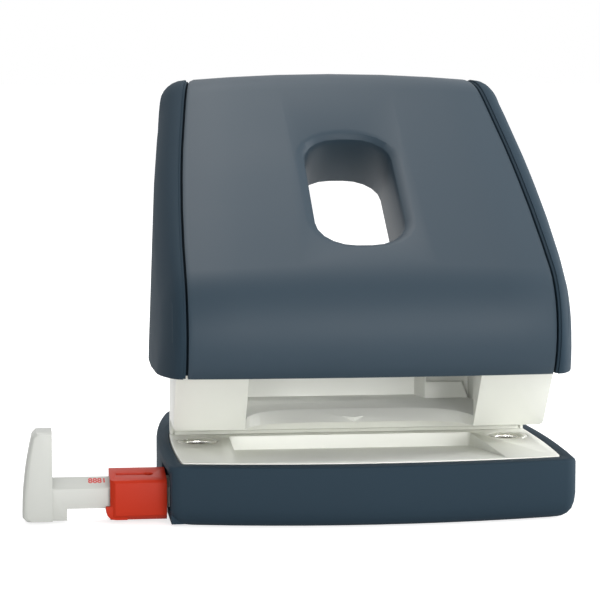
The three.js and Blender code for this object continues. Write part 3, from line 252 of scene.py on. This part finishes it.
MERGE_DISTANCE = 0.002 * MM
FLAT_ANGLE = math.radians(0.5)
EDGE_SEGMENTS = 2


def only(piece):
    """Selects one piece and makes it the active one."""
    bpy.ops.object.select_all(action="DESELECT")
    piece.select_set(True)
    bpy.context.view_layer.objects.active = piece


def on_whole_mesh(piece, operator, **settings):
    """Runs an edit-mode operator on all of a piece's mesh."""
    only(piece)
    bpy.ops.object.mode_set(mode="EDIT")
    bpy.ops.mesh.select_all(action="SELECT")
    operator(**settings)
    bpy.ops.object.mode_set(mode="OBJECT")


def merged_copy(name, ending):
    """A copy of a CAD node that holds each corner once, for more work."""
    piece = nodes[name].copy()
    piece.data = nodes[name].data.copy()
    piece.name = f"{name}_{ending}"
    bpy.context.scene.collection.objects.link(piece)
    on_whole_mesh(piece, bpy.ops.mesh.remove_doubles, threshold=MERGE_DISTANCE)
    return piece


def stands_for(piece, name):
    """Puts the copy in the CAD node's place, on the same body."""
    piece.parent = None
    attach(piece, nodes[name]["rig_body"])
    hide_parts(name)


def eased(name, slot, width, sharp=30, smooth=40):
    """A copy of a CAD node whose edges over sharp degrees are rounded, and whose faces are
    shaded as one where they meet at less than smooth degrees."""
    piece = merged_copy(name, "eased")
    on_whole_mesh(piece, bpy.ops.mesh.dissolve_limited, angle_limit=FLAT_ANGLE)
    bevel = piece.modifiers.new("edges", "BEVEL")
    bevel.width = width
    bevel.segments = EDGE_SEGMENTS
    bevel.limit_method = "ANGLE"
    bevel.angle_limit = math.radians(sharp)
    bpy.ops.object.modifier_apply(modifier=bevel.name)
    bpy.ops.object.shade_smooth_by_angle(angle=math.radians(smooth))
    stands_for(piece, name)


EASED = {
    "base_shell": {"slot": "navy_plastic", "width": 0.35 * MM},
    "bed_plate": {"slot": "white_metal", "width": 0.3 * MM},
    "punch_frame": {"slot": "white_plastic", "width": 0.5 * MM, "sharp": 18, "smooth": 24},
    "guide_bar": {"slot": "guide_plastic", "width": 0.4 * MM},
    "guide_lock": {"slot": "red_plastic", "width": 0.35 * MM},
    "lever_cover": {"slot": "navy_panel", "width": 0.45 * MM},
    "lever_side_left": {"slot": "navy_plastic", "width": 0.45 * MM},
    "lever_side_right": {"slot": "navy_plastic", "width": 0.45 * MM},
    "die_left": {"slot": "steel", "width": 0.15 * MM},
    "die_right": {"slot": "steel", "width": 0.15 * MM},
}
for name, settings in EASED.items():
    eased(name, **settings)


# Return springs, shaded smooth

COIL_SMOOTHNESS = math.radians(80)


def sprung(side):
    """A smooth copy of a return spring, put in the CAD node's place on its body."""
    name = f"return_spring_{side}"
    piece = merged_copy(name, "sprung")
    bpy.ops.object.shade_smooth_by_angle(angle=COIL_SMOOTHNESS)
    stands_for(piece, name)
    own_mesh(piece)


for side in ("left", "right"):
    sprung(side)


# Red marks printed on the sloped top of the guide bar

BAR_FRONT_EDGE = Vector((0, -28.6, 8.25)) * MM
BAR_REAR_EDGE = Vector((0, -23.575, 10.2)) * MM
PRINT_ALONG_SLOPE = 0.7
PRINT_HALF_THICKNESS = 0.03 * MM
NUMBER = "888"
NUMBER_HEIGHT = 2.4 * MM
NUMBER_WIDTH = 3.3 * MM
NUMBER_PLACE = -66.8 * MM
NUMBER_BOLDNESS = 0.03
TICK_WIDTH = 0.4 * MM
TICK_HEIGHT = 2 * MM
TICK_PLACE = -64.6 * MM


def on_bar_slope(piece, place):
    """Lays a flat mark on the sloped top of the guide bar, centred at a place along the bar."""
    slope = BAR_REAR_EDGE - BAR_FRONT_EDGE
    piece.rotation_euler = (math.atan2(slope.z, slope.y), 0, 0)
    piece.location = BAR_FRONT_EDGE + slope * PRINT_ALONG_SLOPE + Vector((place, 0, 0))
    only(piece)
    bpy.ops.object.transform_apply(location=True, rotation=True, scale=True)
    piece.data.materials.clear()
    piece.data.materials.append(red_print)
    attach(piece, "guide")


def length_number():
    """Puts the number that the bar is set by on its slope."""
    bpy.ops.object.text_add()
    piece = bpy.context.object
    piece.name = "guide_number"
    piece.data.body = NUMBER
    piece.data.align_x = "CENTER"
    piece.data.align_y = "CENTER"
    piece.data.offset = NUMBER_BOLDNESS
    piece.data.extrude = PRINT_HALF_THICKNESS
    bpy.ops.object.convert(target="MESH")
    piece = bpy.context.object
    wide, high = piece.dimensions.x, piece.dimensions.y
    piece.scale = (NUMBER_WIDTH / wide, NUMBER_HEIGHT / high, 1)
    bpy.ops.object.transform_apply(scale=True)
    bpy.ops.object.origin_set(type="ORIGIN_GEOMETRY", center="BOUNDS")
    on_bar_slope(piece, NUMBER_PLACE)


def length_tick():
    """Puts the short line beside the number."""
    bpy.ops.mesh.primitive_cube_add(size=1)
    piece = bpy.context.object
    piece.name = "guide_tick"
    piece.scale = (TICK_WIDTH, TICK_HEIGHT, 2 * PRINT_HALF_THICKNESS)
    on_bar_slope(piece, TICK_PLACE)


length_number()
length_tick()


# Stage and light

FLOOR_SIZE = 12
FLOOR_CENTRE = FLOOR_SIZE / 3  # behind the object
FLOOR_DROP = 0.2 * MM
FLOOR_COLOUR = (0.6, 0.6, 0.6)
FLOOR_ROUGHNESS = 0.9
FLOOR_GLOW = 0.75
WORLD_LIGHT = 0.42
WORLD_SEEN = 1.0


def seen_or_mirrored(tree):
    """One for rays from the camera, off gloss or through glass, and nought for other light."""
    path = node(tree, "ShaderNodeLightPath").outputs
    first = calculated(tree, "MAXIMUM", path["Is Camera Ray"], path["Is Glossy Ray"])
    return calculated(tree, "MAXIMUM", first, path["Is Transmission Ray"])


def stage_floor():
    """A pale floor that looks white but throws back plain light."""
    bpy.ops.mesh.primitive_plane_add(size=FLOOR_SIZE, location=(0, FLOOR_CENTRE, -FLOOR_DROP))
    floor = bpy.context.object
    floor.name = "floor"
    bpy.ops.object.transform_apply(location=True)
    material = bpy.data.materials.new("pale_floor")
    material.use_nodes = True
    tree = material.node_tree
    principled = tree.nodes["Principled BSDF"]
    principled.inputs["Base Color"].default_value = (*FLOOR_COLOUR, 1)
    principled.inputs["Roughness"].default_value = FLOOR_ROUGHNESS
    principled.inputs["Emission Color"].default_value = WHITE
    glow = calculated(tree, "MULTIPLY", seen_or_mirrored(tree), FLOOR_GLOW)
    tree.links.new(glow, principled.inputs["Emission Strength"])
    floor.data.materials.append(material)


def softbox(name, place, height_lit, size, power):
    """A soft lamp that faces the object's middle at a height, with its power in watts."""
    data = bpy.data.lights.new(name, "AREA")
    data.shape = "RECTANGLE"
    data.size, data.size_y = size
    data.energy = power
    lamp = bpy.data.objects.new(name, data)
    lamp.location = place
    facing = Vector((0, 0, height_lit)) - Vector(place)
    lamp.rotation_euler = facing.to_track_quat("-Z", "Y").to_euler()
    bpy.context.scene.collection.objects.link(lamp)


def studio_world():
    """A plain world that looks white and lights the object from all sides."""
    world = bpy.data.worlds.new("studio")
    bpy.context.scene.world = world
    world.use_nodes = True
    tree = world.node_tree
    sky = tree.nodes["Background"]
    sky.inputs["Color"].default_value = WHITE
    level = node(tree, "ShaderNodeMapRange", [
        ("Value", seen_or_mirrored(tree)), ("To Min", WORLD_LIGHT), ("To Max", WORLD_SEEN)])
    tree.links.new(level.outputs[0], sky.inputs["Strength"])


SOFTBOXES = {
    "key_softbox": {"place": (0.9, -0.6, 0.5), "height_lit": 0.05, "size": (0.6, 0.6),
                    "power": 2},
    "low_front_softbox": {"place": (0.3, -1.2, 0.16), "height_lit": 0.03, "size": (0.5, 0.25),
                          "power": 5.5},
    "low_left_softbox": {"place": (-0.35, -1.2, 0.14), "height_lit": 0.03, "size": (0.2, 0.2),
                         "power": 2.5},
    "front_softbox": {"place": (0.3, -1.1, 0.55), "height_lit": 0.03, "size": (0.5, 0.3),
                      "power": 3.2},
    "right_strip": {"place": (0.9, 0.15, 0.25), "height_lit": 0.05, "size": (0.3, 0.5),
                    "power": 9},
    "overhead_softbox": {"place": (-0.16, 0.4, 1.0), "height_lit": 0.05, "size": (0.6, 0.6),
                         "power": 5.8},
}
stage_floor()
for name, settings in SOFTBOXES.items():
    softbox(name, **settings)
studio_world()


# Camera, fitted to the edges of the photograph

CAMERA_PLACE = (-0.0857, -0.6028, 0.1110)
CAMERA_DOWN = 5.7  # degrees
CAMERA_RIGHT = 6.8  # degrees
SENSOR_WIDTH = 36  # millimetres, as Blender takes it
LENS = 144.6  # millimetres
NEAREST_SEEN = 0.01

camera_data = bpy.data.cameras.new("camera")
camera_data.sensor_width = SENSOR_WIDTH
camera_data.lens = LENS
camera_data.clip_start = NEAREST_SEEN
camera = bpy.data.objects.new("camera", camera_data)
camera.location = CAMERA_PLACE
camera.rotation_euler = Euler((math.radians(90 - CAMERA_DOWN), 0, math.radians(-CAMERA_RIGHT)))
bpy.context.scene.collection.objects.link(camera)
bpy.context.scene.camera = camera
bpy.context.scene.view_settings.view_transform = "Standard"
